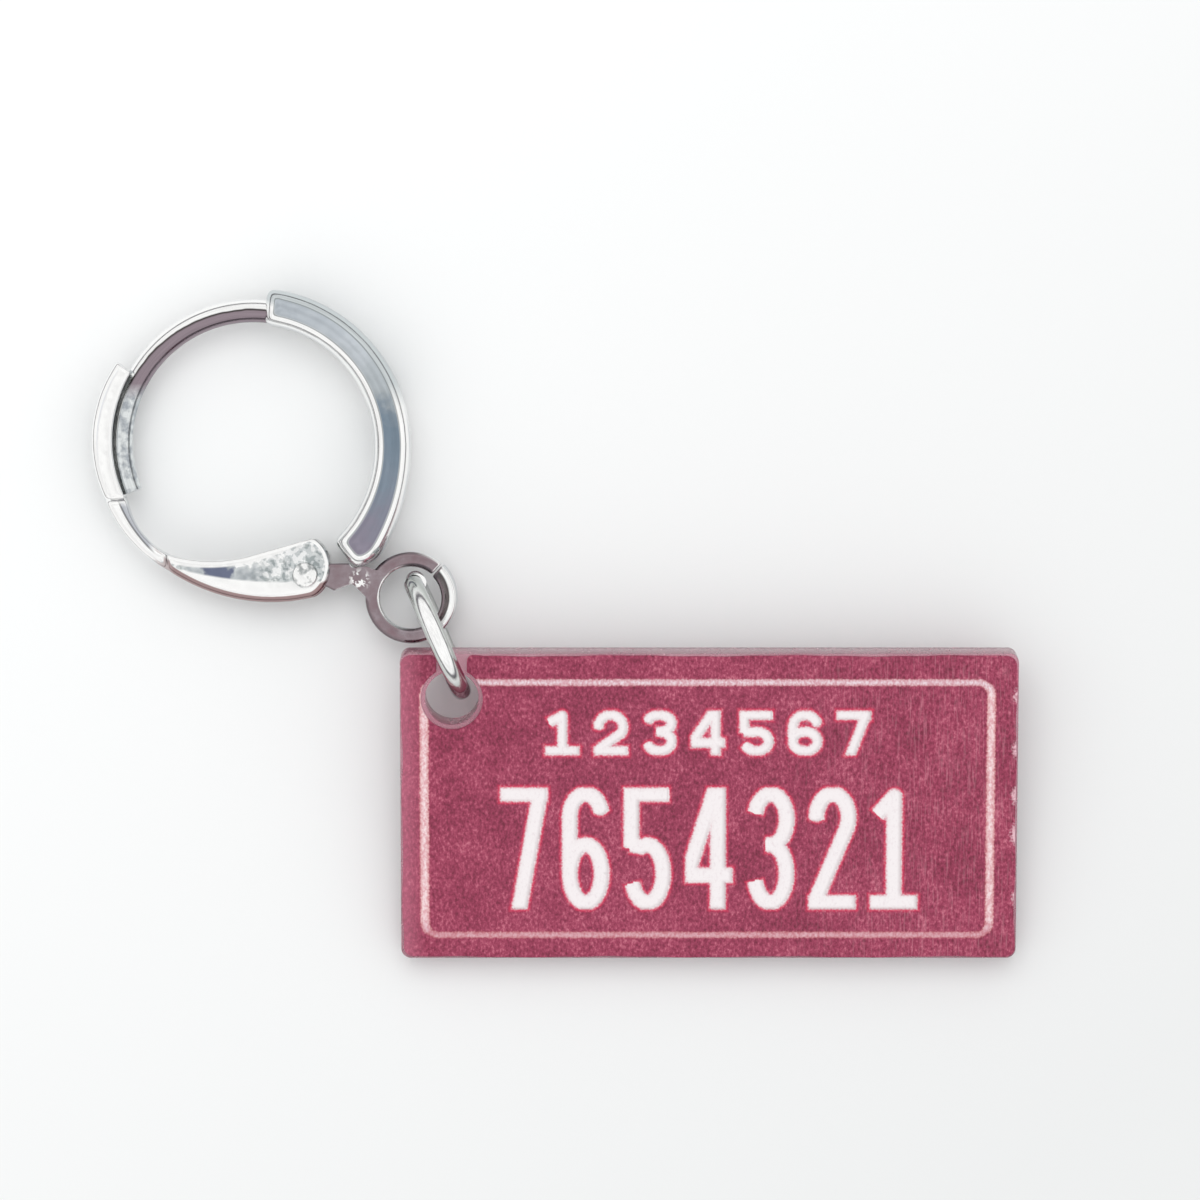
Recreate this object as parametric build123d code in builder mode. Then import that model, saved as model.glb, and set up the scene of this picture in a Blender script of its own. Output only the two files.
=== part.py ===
from build123d import *
import math
import os

os.makedirs("parts", exist_ok=True)

# A hinged hoop lies flat, a jump ring stands in its eye, and a printed charm leans on the ring.
# The origin is the hoop's centre in its mid-plane, X runs along the charm, and Z is up.

# Front arc, in millimetres: the wide bevelled bar on the hoop's right half.
hoop_radius = 6.56
arc_depth = 1.50
arc_width = 2.80
arc_bevel = 0.28
arc_top_angle = 84.5

# Ear wire, which closes the hoop's top left.
wire_diameter = 0.95
wire_inset = 0.94
wire_tip_inset = 1.18
wire_tip_angle = 200.5
wire_tip_round = 0.30

# Hinge tang and its eye, one flat pressing brazed to the arc's lower end.
eye_radius = 1.90
eye_hole_radius = 1.275
eye_thickness = 0.80
eye_round = 0.15
eye_angle = -43.6
eye_standoff = 0.59
neck_seat_angles = (140, 190)
tang_width = 0.95
tang_heel_reach = 1.36
tang_heel_angle = -29.0

# Lever, a channel pressed from sheet, and the leaf that snaps it shut.
sheet = 0.35
wire_play = 0.15
lever_edge_round = 0.28
lever_mouth_angle = 60.0
lever_stop_gap = 0.16
rod_width = 1.20
leaf_thickness = 0.20

# Rivet, the lever's hinge pin.
rivet_radius = 0.30
rivet_head_radius = 0.52
rivet_head_height = 0.22
rivet_inset = 0.81
rivet_angle = -67.5

# Jump ring, bent from round wire.
ring_radius = 2.85
ring_wire = 0.80
ring_slit_angle = 2.0
ring_slit_place = 160.0
ring_heading = -66.7
ring_stand = 76.32
ring_eye_place = -51.0

# Charm, a clear plate with a printed film on its face.
charm_length = 25.40
charm_height = 12.80
charm_thickness = 1.50
charm_corner = 0.40
charm_hole_radius = 1.10
hole_from_left = 2.13
hole_from_top = 1.86
hole_shift_angle = 207.0
charm_sag = 0.18
film_thickness = 0.10
film_edge = 0.05
film_top_edge = 0.04
film_land = 0.18
film_slot_width = 1.26
film_shoulder = 0.26

# Gaps that all the pieces keep.
running_gap = 0.05
spring_gap = 0.08
overrun = 0.60


def polar(radius, degrees):
    angle = math.radians(degrees)
    return Vector(radius * math.cos(angle), radius * math.sin(angle))


def rim(shares, inward=0):
    """Points of an outline, from shares of the hoop's radius and angles, moved towards its centre."""
    return [polar(hoop_radius * share - inward, degrees) for share, degrees in shares]


# Front arc: its inner and outer edges leave the round below the middle and end at the neck.
arc_inner_radius = hoop_radius - arc_depth
arc_end_shares = [(0.788, -49.2), (0.989, -50.1), (1.040, -46.4), (1.062, -41.4)]
arc_end_inner, arc_end_corner, arc_end_neck, arc_end_outer = rim(arc_end_shares)
arc_top_outer = polar(hoop_radius, arc_top_angle)
arc_top_inner = polar(arc_inner_radius, arc_top_angle)

with BuildPart() as front_arc:
    with BuildSketch() as arc_outline:
        with BuildLine():
            CenterArc((0, 0), hoop_radius, 0, arc_top_angle)
            TangentArc(polar(hoop_radius, 0), arc_end_outer, tangent=(0, -1))
            Line(arc_end_outer, arc_end_neck)
            Line(arc_end_neck, arc_end_corner)
            Line(arc_end_corner, arc_end_inner)
            TangentArc(polar(arc_inner_radius, 0), arc_end_inner, tangent=(0, -1))
            CenterArc((0, 0), arc_inner_radius, 0, arc_top_angle)
            Line(arc_top_inner, arc_top_outer)
        make_face()
    extrude(amount=arc_width / 2, both=True)
    arc_rims = front_arc.faces().filter_by(Axis.Z).edges()
    chamfer(arc_rims, arc_bevel)
front_arc.part.label = "front_arc"
export_step(front_arc.part, "parts/front_arc.step")

# Ear wire: leaves the arc's end square and curls in to a blunt tip inside the lever.
wire_start = polar(hoop_radius - wire_inset, arc_top_angle)
wire_tip = polar(hoop_radius - wire_tip_inset, wire_tip_angle)
wire_heading = polar(1, arc_top_angle + 90)

with BuildPart() as ear_wire:
    with BuildLine() as wire_path:
        TangentArc(wire_start, wire_tip, tangent=wire_heading)
    with BuildSketch(Plane(origin=wire_start, z_dir=wire_heading)):
        Circle(wire_diameter / 2)
    sweep(path=wire_path.wires()[0])
    tip_face = ear_wire.faces().filter_by(GeomType.PLANE).sort_by_distance(wire_tip)[0]
    fillet(tip_face.edges(), wire_tip_round)
ear_wire.part.label = "ear_wire"
export_step(ear_wire.part, "parts/ear_wire.step")

# Eye and tang: a round eye with softened rims, a neck on the arc's end, and the hinge tang.
eye_center = polar(hoop_radius + eye_standoff + eye_radius, eye_angle)
eye_middle_radius = (eye_radius + eye_hole_radius) / 2
eye_rim_width = eye_radius - eye_hole_radius
lever_inner_width = wire_diameter + wire_play
tang_thickness = lever_inner_width - 2 * running_gap
rivet_center = polar(hoop_radius - rivet_inset, rivet_angle)
neck_lower_shares = [(1.073, -53.8)]
neck_lower = rim(neck_lower_shares)[0]
tang_heel = rivet_center + polar(tang_heel_reach, tang_heel_angle)
neck_share = 0.85
neck_upper = arc_end_inner + (arc_end_corner - arc_end_inner) * neck_share

with BuildPart() as eye_tang:
    with BuildSketch(Plane(origin=eye_center, x_dir=(1, 0, 0), z_dir=(0, -1, 0))):
        with Locations((eye_middle_radius, 0)):
            RectangleRounded(eye_rim_width, eye_thickness, eye_round)
    revolve(axis=Axis(eye_center, (0, 0, 1)))
    with BuildSketch():
        with BuildLine():
            Polyline(
                rivet_center + Vector(0, tang_width / 2),
                neck_upper,
                arc_end_corner,
                arc_end_neck,
                eye_center + polar(eye_middle_radius, neck_seat_angles[0]),
                eye_center + polar(eye_middle_radius, neck_seat_angles[1]),
                neck_lower,
                tang_heel,
                rivet_center + polar(tang_width, tang_heel_angle),
                rivet_center - Vector(0, tang_width / 2),
                close=True,
            )
        make_face()
        with Locations(rivet_center):
            Circle(tang_width / 2)
            Circle(rivet_radius, mode=Mode.SUBTRACT)
    extrude(amount=tang_thickness / 2, both=True)
eye_tang.part.label = "eye_tang"
export_step(eye_tang.part, "parts/eye_tang.step")

# Lever: an open trough for the wire's tip, a folded rod, and the two cheeks of the hinge.
lever_width = lever_inner_width + 2 * sheet
trough_back_shares = [(1.008, 147.7), (1.016, 175.0), (0.987, 200.0)]
rod_back_shares = [(0.987, 200.0), (0.971, 218.0), (0.944, 236.0)]
belly_shares = [(0.944, 236.0), (0.970, 266.0), (1.030, 292.5)]
trough_lip_shares = [(0.889, 148.5), (0.877, 178.0), (0.858, 203.0)]
rod_lip_shares = [(0.858, 203.0), (0.884, 219.5), (0.862, 231.6)]
cheek_lip_shares = [(0.862, 231.6), (0.768, 249.0), (0.676, 271.6)]
heel_shares = [(0.692, 305.0), (0.917, 303.0)]
cheek_corner, heel_back = rim(heel_shares)

with BuildPart() as trough:
    with BuildSketch():
        with BuildLine():
            outer = rim(trough_back_shares)
            lip = rim(trough_lip_shares)
            ThreePointArc(*outer)
            Line(outer[2], lip[2])
            ThreePointArc(*lip)
            Line(lip[0], outer[0])
        make_face()
    extrude(amount=lever_width / 2, both=True)
    fillet(trough.edges().filter_by(GeomType.CIRCLE).group_by(SortBy.RADIUS)[-1], lever_edge_round)

with BuildPart() as hinge_channel:
    with BuildSketch():
        with BuildLine():
            belly = rim(belly_shares)
            cheek = rim(cheek_lip_shares)
            ThreePointArc(*belly)
            ThreePointArc(belly[2], heel_back, cheek_corner)
            Line(cheek_corner, cheek[2])
            ThreePointArc(*cheek)
            Line(cheek[0], belly[0])
        make_face()
    extrude(amount=lever_width / 2, both=True)
    channel_rims = hinge_channel.edges().filter_by(GeomType.CIRCLE)
    belly_rims = channel_rims.sort_by_distance(belly[1])[0:2]
    heel_rims = channel_rims.sort_by_distance(heel_back)[0:2]
    fillet(belly_rims + heel_rims, lever_edge_round)

with BuildPart() as lever:
    add(trough.part)
    add(hinge_channel.part)
    with BuildSketch():
        with BuildLine():
            rod_outer = rim(rod_back_shares)
            rod_lip = rim(rod_lip_shares)
            ThreePointArc(*rod_outer)
            Line(rod_outer[2], rod_lip[2])
            ThreePointArc(*rod_lip)
            Line(rod_lip[0], rod_outer[0])
        make_face()
    extrude(amount=rod_width / 2, both=True)
    with BuildSketch():
        with BuildLine():
            floor = rim(trough_back_shares, sheet)
            open_side = rim(trough_lip_shares, overrun)
            ThreePointArc(*floor)
            Line(floor[2], open_side[2])
            Line(open_side[2], open_side[0])
            Line(open_side[0], floor[0])
        make_face()
        with BuildLine():
            past = polar(overrun, lever_mouth_angle)
            Polyline(floor[0], open_side[0], open_side[0] + past, floor[0] + past, close=True)
        make_face()
    extrude(amount=lever_inner_width / 2, both=True, mode=Mode.SUBTRACT)
    with BuildSketch():
        with BuildLine():
            belly_floor = rim(belly_shares, sheet)
            web_end = Vector(rivet_center.X - lever_stop_gap, belly_floor[2].Y)
            ThreePointArc(belly_floor[0], belly_floor[1], web_end)
            Polyline(
                web_end,
                web_end - Vector(0, overrun),
                Vector(neck_lower.X, web_end.Y - overrun),
                Vector(neck_lower.X, cheek_corner.Y + overrun),
                cheek[0] + Vector(0, overrun),
                belly_floor[0],
            )
        make_face()
    extrude(amount=lever_inner_width / 2, both=True, mode=Mode.SUBTRACT)
    with Locations(rivet_center):
        Hole(rivet_radius + running_gap)
lever.part.label = "lever"
export_step(lever.part, "parts/lever.step")

# Snap leaf: a flat spring along the lever's web, whose end bears on the tang's nose.
leaf_width = lever_inner_width - 2 * running_gap
leaf_start = rim(belly_shares, sheet + leaf_thickness / 2 + running_gap)[0]
leaf_end = rivet_center - Vector(tang_width / 2 + spring_gap, 0)
leaf_heading = Vector(-leaf_start.Y, leaf_start.X)

with BuildPart() as snap_leaf:
    with BuildSketch():
        with BuildLine():
            TangentArc(leaf_start, leaf_end, tangent=leaf_heading)
        trace(line_width=leaf_thickness)
    extrude(amount=leaf_width / 2, both=True)
snap_leaf.part.label = "snap_leaf"
export_step(snap_leaf.part, "parts/snap_leaf.step")

# Hinge rivet: pressed through the tang, with a low head over each cheek.
shank_half = lever_width / 2 + running_gap
rivet_middle = Plane(origin=rivet_center)

with BuildPart() as hinge_rivet:
    with BuildSketch(rivet_middle):
        Circle(rivet_radius)
    extrude(amount=shank_half, both=True)
    for side in (1, -1):
        with BuildSketch(rivet_middle.offset(side * shank_half)):
            Circle(rivet_head_radius)
        extrude(amount=side * rivet_head_height)
    head_rims = hinge_rivet.edges().filter_by(GeomType.CIRCLE).group_by(Axis.Z)
    fillet(head_rims[0] + head_rims[-1], rivet_head_height / 2)
hinge_rivet.part.label = "hinge_rivet"
export_step(hinge_rivet.part, "parts/hinge_rivet.step")

# Jump ring: stands on the table, through the eye and round the charm's land.
ring_middle_radius = ring_radius - ring_wire / 2
ring_inner_radius = ring_radius - ring_wire
eye_grip = math.hypot(eye_rim_width / 2, eye_thickness / 2) + running_gap
ring_reach = ring_inner_radius - eye_grip
ring_direction = polar(1, ring_heading)
eye_contact = eye_center + polar(eye_middle_radius, ring_eye_place)
ring_stand_radians = math.radians(ring_stand)
ring_out = ring_reach * math.cos(ring_stand_radians)
ring_rise = ring_reach * math.sin(ring_stand_radians)
ring_center = eye_contact + ring_direction * ring_out + Vector(0, 0, ring_rise)
ring_axis_direction = ring_direction.cross(Vector(0, 0, 1))
ring_plane = Plane(origin=ring_center, x_dir=ring_direction, z_dir=ring_axis_direction)
slit_side = polar(1, ring_slit_place + ring_slit_angle / 2)
slit_radial = ring_plane.x_dir * slit_side.X + ring_plane.y_dir * slit_side.Y
slit_normal = ring_plane.y_dir * slit_side.X - ring_plane.x_dir * slit_side.Y

with BuildPart() as jump_ring:
    with BuildSketch(Plane(origin=ring_center, x_dir=slit_radial, z_dir=slit_normal)):
        with Locations((ring_middle_radius, 0)):
            Circle(ring_wire / 2)
    revolve(axis=Axis(ring_center, ring_axis_direction), revolution_arc=360 - ring_slit_angle)
jump_ring.part.label = "jump_ring"
export_step(jump_ring.part, "parts/jump_ring.step")

# Charm plate: its lower back edge lies on the table and its hole hangs on the ring.
table = -arc_width / 2
hole_shift_share = 0.62
hole_play = charm_hole_radius - ring_wire / 2
hole_shift = polar(hole_play * hole_shift_share, hole_shift_angle)
hole_rise = charm_height - hole_from_top
hole_lift = ring_rise - charm_sag - charm_thickness / 2 - table
charm_tilt = math.asin(hole_lift / hole_rise)
charm_up = Vector(0, math.cos(charm_tilt), math.sin(charm_tilt))
charm_normal = Vector(0, -math.sin(charm_tilt), math.cos(charm_tilt))
hole_over = ring_center + ring_direction * ring_middle_radius + hole_shift
hole_back = Vector(hole_over.X, hole_over.Y - charm_normal.Y * charm_thickness / 2, table + hole_lift)
charm_foot = hole_back - charm_up * hole_rise - Vector(hole_from_left, 0, 0)
back_face = Plane(origin=charm_foot, x_dir=(1, 0, 0), z_dir=charm_normal)
print_face = back_face.offset(charm_thickness)

with BuildPart() as charm_plate:
    with BuildSketch(back_face):
        with Locations((charm_length / 2, charm_height / 2)):
            RectangleRounded(charm_length, charm_height, charm_corner)
        with Locations((hole_from_left, hole_rise)):
            Circle(charm_hole_radius, mode=Mode.SUBTRACT)
    extrude(amount=charm_thickness)
charm_plate.part.label = "charm_plate"
export_step(charm_plate.part, "parts/charm_plate.step")

# Charm film: the print, which leaves a keyhole of bare plate round the hole.
film_keyhole_radius = charm_hole_radius + film_land
film_length = charm_length - 2 * film_edge
film_height = charm_height - film_edge - film_top_edge
film_top = film_edge + film_height

with BuildPart() as charm_film:
    with BuildSketch(print_face):
        with Locations((charm_length / 2, film_edge + film_height / 2)):
            RectangleRounded(film_length, film_height, charm_corner)
        with Locations((hole_from_left, (hole_rise + film_top) / 2)):
            Rectangle(film_slot_width, film_top - hole_rise, mode=Mode.SUBTRACT)
        with Locations((hole_from_left, hole_rise)):
            Circle(film_keyhole_radius, mode=Mode.SUBTRACT)
    extrude(amount=film_thickness)
    slot_mouth = print_face.from_local_coords(Vector(hole_from_left, film_top))
    corners = charm_film.edges().filter_by(Axis(charm_foot, charm_normal))
    fillet(corners.sort_by_distance(slot_mouth)[0:2], film_shoulder)
charm_film.part.label = "charm_film"
export_step(charm_film.part, "parts/charm_film.step")

print("ring centre", ring_center, "eye contact", eye_contact, "ring axis", ring_axis_direction)
print("rivet", rivet_center, "charm tilt", math.degrees(charm_tilt), "charm foot", charm_foot)
print("ring foot above the table", ring_rise - ring_radius - table)
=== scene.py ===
import math

import bmesh
import bpy
import numpy as np
from mathutils import Matrix, Vector, geometry


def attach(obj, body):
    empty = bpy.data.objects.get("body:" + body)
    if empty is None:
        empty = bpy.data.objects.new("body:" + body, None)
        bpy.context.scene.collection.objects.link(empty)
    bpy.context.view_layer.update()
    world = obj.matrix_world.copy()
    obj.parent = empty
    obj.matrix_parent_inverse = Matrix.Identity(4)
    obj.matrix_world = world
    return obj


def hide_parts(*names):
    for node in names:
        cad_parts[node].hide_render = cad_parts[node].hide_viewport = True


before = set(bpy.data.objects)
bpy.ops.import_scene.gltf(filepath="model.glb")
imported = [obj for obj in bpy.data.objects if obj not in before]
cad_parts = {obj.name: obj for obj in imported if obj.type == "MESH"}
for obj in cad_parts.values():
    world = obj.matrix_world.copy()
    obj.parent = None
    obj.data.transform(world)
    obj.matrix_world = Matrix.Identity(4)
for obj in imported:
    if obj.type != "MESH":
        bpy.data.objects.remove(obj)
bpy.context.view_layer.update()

# Front arc: a brass bar with bevelled edges, tumbled smooth and silver plated.
# It is brazed to the ear wire at its upper end and to the tang at its lower end.
MM = 0.001
WELD = 0.0001 * MM
SHARP_ANGLE = math.radians(38)
NOISE_SPAN = (0.3, 0.7)
BRIGHT = (0.96, 0.96, 0.95, 1)
# Painted shade: the colour that darkens the upright walls of all plating, in soft patches.
PAINTED_WALL_DARKENING = (0.56, 0.59, 0.62)
DARKENED_WALL_STEEPNESS = (0.45, 0.15)
FLAT_STEEPNESS = (0.966, 0.978)
# Steepness band of the painted dark reflection line, where a flat side turns into its bevel.
LINE_STARTS = (0.954, 0.962)
LINE_ENDS = (0.976, 0.968)
ARC_CELL = 0.055
ARC_WEAR = 240
# Painted reflections on the arc: side tones by height, a grey outer bevel higher up, and a dark line at
# each bevel.
ARC_SPAN = (-5.2, 6.6)
ARC_GREY_REFLECTION = (0.60, 0.64, 0.65, 1)
ARC_BACK_HEIGHT = (1.6, 2.6)
ARC_BACK_REACH = (5.9, 6.2)
ARC_PAINTED_LINE = (0.22, 0.25, 0.26, 1)
ARC_LINE_SHARE = 0.75
ARC_SIDE_REFLECTIONS = [
    (0.00, (0.30, 0.27, 0.33, 1)),
    (0.11, (0.27, 0.25, 0.31, 1)),
    (0.32, (0.23, 0.28, 0.34, 1)),
    (0.50, (0.20, 0.26, 0.32, 1)),
    (0.57, (0.26, 0.31, 0.36, 1)),
    (0.64, (0.42, 0.46, 0.48, 1)),
    (0.79, (0.56, 0.60, 0.64, 1)),
    (0.93, (0.46, 0.50, 0.54, 1)),
    (1.00, (0.52, 0.56, 0.60, 1)),
]


def wired(tree, made, inputs):
    """A node whose sockets are given a value or joined to another node."""
    for key, value in inputs.items():
        if isinstance(value, bpy.types.NodeSocket):
            tree.links.new(value, made.inputs[key])
        else:
            made.inputs[key].default_value = value
    return made


def node(tree, kind, inputs=None, **settings):
    """A new node. Its settings come first, because some of them change its sockets."""
    made = tree.nodes.new(kind)
    for key, value in settings.items():
        setattr(made, key, value)
    return wired(tree, made, inputs or {})


def new_material(name):
    """A new material, its node tree and its surface."""
    material = bpy.data.materials.new(name)
    material.use_nodes = True
    tree = material.node_tree
    return material, tree, tree.nodes["Principled BSDF"]


def tone_ramp(tree, share, stops):
    """A run of colours over a share from 0 to 1."""
    made = node(tree, "ShaderNodeValToRGB", {"Fac": share})
    while len(made.color_ramp.elements) < len(stops):
        made.color_ramp.elements.new(1.0)
    for element, (place, colour) in zip(made.color_ramp.elements, stops):
        element.position = place
        element.color = colour
    return made.outputs["Color"]


def object_place(tree):
    """A point's place in the frame, in metres."""
    return node(tree, "ShaderNodeTexCoord").outputs["Object"]


def patches(tree, size_mm, detail=2.0, rough=0.5):
    """Soft uneven patches of about this size, as a share from 0 to 1."""
    made = node(tree, "ShaderNodeTexNoise", {
        "Vector": object_place(tree), "Scale": 1 / (size_mm * MM), "Detail": detail, "Roughness": rough})
    return made.outputs["Fac"]


def spread(tree, share, low, high, to_low=0.0, to_high=1.0):
    """A share stretched from one range to another, and held inside it."""
    made = node(tree, "ShaderNodeMapRange", {
        "Value": share, "From Min": low, "From Max": high, "To Min": to_low, "To Max": to_high})
    return made.outputs["Result"]


def wandering(tree, size_mm, detail, low, high):
    """A value that wanders between two bounds, in soft patches of about this size."""
    return spread(tree, patches(tree, size_mm, detail), *NOISE_SPAN, low, high)


def mixed(tree, share, first, second):
    """Two colours, mixed by a share."""
    made = node(tree, "ShaderNodeMix", {0: share, 6: first, 7: second}, data_type="RGBA")
    return made.outputs[2]


def worked(tree, operation, first, second=0.0, third=0.0):
    """One sum on up to three values."""
    return node(tree, "ShaderNodeMath", {0: first, 1: second, 2: third}, operation=operation).outputs[0]


def measured(tree, operation, first, second=(0, 0, 0)):
    """A length, a distance or a dot product of places or headings."""
    return node(tree, "ShaderNodeVectorMath", {0: first, 1: second}, operation=operation).outputs["Value"]


def product(tree, first, second):
    """Two colours, one seen through the other."""
    return node(tree, "ShaderNodeVectorMath", {0: first, 1: second}, operation="MULTIPLY").outputs["Vector"]


def split(tree, vector):
    """The three parts of a place or a heading, by their letters."""
    return node(tree, "ShaderNodeSeparateXYZ", {"Vector": vector}).outputs


def facing(tree, letter):
    """How far a surface faces along one axis, from -1 to 1."""
    return split(tree, node(tree, "ShaderNodeTexCoord").outputs["Normal"])[letter]


def place_mm(tree):
    """A point's X, its Y and its distance from the hoop's centre, in millimetres."""
    place = node(tree, "ShaderNodeVectorMath", {
        0: object_place(tree), "Scale": 1 / MM}, operation="SCALE").outputs["Vector"]
    parts = split(tree, place)
    return parts["X"], parts["Y"], measured(tree, "LENGTH", place)


def steepness(tree):
    """1 where a surface faces up or down, 0 on an upright wall."""
    return worked(tree, "ABSOLUTE", facing(tree, "Z"))


def flat_side(tree):
    """1 on a flat side that faces up or down, 0 on a bevel or a wall."""
    return spread(tree, steepness(tree), *FLAT_STEEPNESS)


def bevel_line(tree):
    """1 on the thin line where a flat side turns into its bevel."""
    level = steepness(tree)
    return worked(tree, "MULTIPLY", spread(tree, level, *LINE_STARTS), spread(tree, level, *LINE_ENDS))


def bumped(tree, height, strength, most_mm):
    """The normal of a surface with bumps of at most this height."""
    return node(tree, "ShaderNodeBump", {
        "Height": height, "Strength": strength, "Distance": most_mm * MM}).outputs["Normal"]


def plated_metal(name, toned, ripple_mm=0.9, ripple_height=0.012, rough=(0.07, 0.2)):
    """Bright silver plating: its given tone, painted shade on upright walls, and a tumbled ripple that
    bends what it mirrors.
    """
    material, tree, surface = new_material(name)
    tone = toned(tree)
    # Painted shade on upright walls, in soft patches.
    shaded = worked(tree, "MULTIPLY", spread(tree, steepness(tree), *DARKENED_WALL_STEEPNESS),
                    spread(tree, patches(tree, 3.0, 1.0), 0.42, 0.58, 0.1, 1.0))
    wired(tree, surface, {
        "Metallic": 1.0,
        "Base Color": mixed(tree, shaded, tone, product(tree, tone, PAINTED_WALL_DARKENING)),
        "Roughness": spread(tree, patches(tree, 0.5, 4.0), 0.35, 0.7, *rough),
        "Normal": bumped(tree, patches(tree, ripple_mm, 1.5, 0.4), 1.0, ripple_height),
    })
    return material


def arc_tone(tree):
    """Painted reflections: a dark room low down and a grey one higher up on the flat side, grey on the
    outer bevel higher up, and a dark line where the bevel starts.
    """
    _, height, reach = place_mm(tree)
    uneven = worked(tree, "ADD", height, wandering(tree, 0.7, 3.0, -0.6, 0.6))
    side = tone_ramp(tree, spread(tree, uneven, *ARC_SPAN), ARC_SIDE_REFLECTIONS)
    back = worked(tree, "MULTIPLY", spread(tree, height, *ARC_BACK_HEIGHT),
                  spread(tree, reach, *ARC_BACK_REACH))
    plated = mixed(tree, flat_side(tree), mixed(tree, back, BRIGHT, ARC_GREY_REFLECTION), side)
    return mixed(tree, worked(tree, "MULTIPLY", bevel_line(tree), ARC_LINE_SHARE), plated, ARC_PAINTED_LINE)


def placed(name, data):
    """A new object in the scene."""
    piece = bpy.data.objects.new(name, data)
    bpy.context.scene.collection.objects.link(piece)
    return piece


def shown(name, mesh, material, body):
    """A finished piece: its mesh shaded smooth between sharp edges, its material and its body."""
    mesh.shade_smooth()
    mesh.set_sharp_from_angle(angle=SHARP_ANGLE)
    mesh.materials.clear()
    mesh.materials.append(material)
    piece = placed(name, mesh)
    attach(piece, body)
    return piece


def plain_mesh(piece, name):
    """What an object's modifiers make of it, as a plain mesh, with the object then gone."""
    bpy.context.view_layer.update()
    evaluated = piece.evaluated_get(bpy.context.evaluated_depsgraph_get())
    mesh = bpy.data.meshes.new_from_object(evaluated)
    mesh.name = name
    bpy.data.objects.remove(piece)
    return mesh


def welded(shape, mesh, outward=False):
    """A shape put into a mesh, with its doubled points joined and, if asked, its faces outward."""
    work = bmesh.new()
    work.from_mesh(shape)
    bmesh.ops.remove_doubles(work, verts=work.verts, dist=WELD)
    if outward:
        bmesh.ops.recalc_face_normals(work, faces=work.faces)
    work.to_mesh(mesh)
    work.free()
    return mesh


def tumbled(shape, name, cell, wear):
    """A solid with its edges worn round by tumbling. The cell, in millimetres, is its finest detail."""
    mesh = welded(shape, bpy.data.meshes.new(name))
    mesh.transform(Matrix.Scale(1 / MM, 4))
    piece = placed(name, mesh)
    cells = piece.modifiers.new("cells", "REMESH")
    cells.mode = "VOXEL"
    cells.voxel_size = cell
    worn = piece.modifiers.new("worn", "SMOOTH")
    worn.factor = 0.5
    worn.iterations = wear
    mesh = plain_mesh(piece, name)
    mesh.transform(Matrix.Scale(MM, 4))
    return mesh


arc_plating = plated_metal("arc_plating", arc_tone)
arc_mesh = tumbled(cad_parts["front_arc"].data, "arc_bar", ARC_CELL, ARC_WEAR)
arc_bar = shown("arc_bar", arc_mesh, arc_plating, "hoop")
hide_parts("front_arc")

# Ear wire: round plated wire with a blunt tip, sunk and brazed into the arc's upper end.
# Its side towards the needle is painted with darker reflections than its back.
WIRE_DIAMETER = 0.95
WIRE_START = (5.62, 84.5)
WIRE_TIP = (5.38, 200.5)
WIRE_TIP_ROUND = 0.34
WIRE_SINK = 0.30
WIRE_STEPS = 150
WIRE_CORNER_STEPS = 12
WIRE_IN_TROUGH = (2.6, 1.9)
WIRE_INNER_REACH = (5.61, 5.66)
WIRE_OUTER_REACH = (5.69, 5.73)
# Painted reflections on the wire: the dark ridge line, the mauve inner side, and the mottled grey where it
# lies in the lever's trough.
WIRE_DARK_REFLECTION = (0.07, 0.06, 0.06, 1)
WIRE_INNER_REFLECTION = (0.29, 0.235, 0.265, 1)
WIRE_TROUGH_REFLECTIONS = [(0.38, (0.40, 0.43, 0.46, 1)), (0.60, (0.76, 0.79, 0.79, 1))]


def polar(radius, degrees):
    """A point of the hoop's plane, in millimetres."""
    return Vector((radius * math.cos(math.radians(degrees)), radius * math.sin(math.radians(degrees)), 0))


def bent_path(name, points, sizes=None):
    """An open path through points in millimetres, with the wire's relative size at each."""
    curve = bpy.data.curves.new(name, "CURVE")
    curve.dimensions = "3D"
    curve.twist_mode = "Z_UP"
    spline = curve.splines.new("POLY")
    spline.points.add(len(points) - 1)
    for number, point in enumerate(points):
        spline.points[number].co = (*(Vector(point) * MM), 1)
        spline.points[number].radius = sizes[number] if sizes else 1.0
    return placed(name, curve)


def wire_forming():
    """Geometry Nodes that run a section with rounded corners along a path and close its ends."""
    tree = bpy.data.node_groups.new("wire_forming", "GeometryNodeTree")
    tree.interface.new_socket("Geometry", in_out="INPUT", socket_type="NodeSocketGeometry")
    for name in ("Width", "Thickness", "Corner"):
        tree.interface.new_socket(name, in_out="INPUT", socket_type="NodeSocketFloat")
    tree.interface.new_socket("Corner Steps", in_out="INPUT", socket_type="NodeSocketInt")
    tree.interface.new_socket("Finish", in_out="INPUT", socket_type="NodeSocketMaterial")
    tree.interface.new_socket("Geometry", in_out="OUTPUT", socket_type="NodeSocketGeometry")
    given = node(tree, "NodeGroupInput").outputs
    section = node(tree, "GeometryNodeCurvePrimitiveQuadrilateral", {
        "Width": given["Thickness"], "Height": given["Width"]})
    rounded = node(tree, "GeometryNodeFilletCurve", {
        "Curve": section.outputs["Curve"], "Count": given["Corner Steps"],
        "Radius": given["Corner"], "Limit Radius": True}, mode="POLY")
    swept = node(tree, "GeometryNodeCurveToMesh", {
        "Curve": given["Geometry"], "Profile Curve": rounded.outputs["Curve"], "Fill Caps": True})
    whole = node(tree, "GeometryNodeRealizeInstances", {"Geometry": swept.outputs["Mesh"]})
    finished = node(tree, "GeometryNodeSetMaterial", {
        "Geometry": whole.outputs["Geometry"], "Material": given["Finish"]})
    result = node(tree, "NodeGroupOutput")
    tree.links.new(finished.outputs["Geometry"], result.inputs["Geometry"])
    return tree


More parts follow.
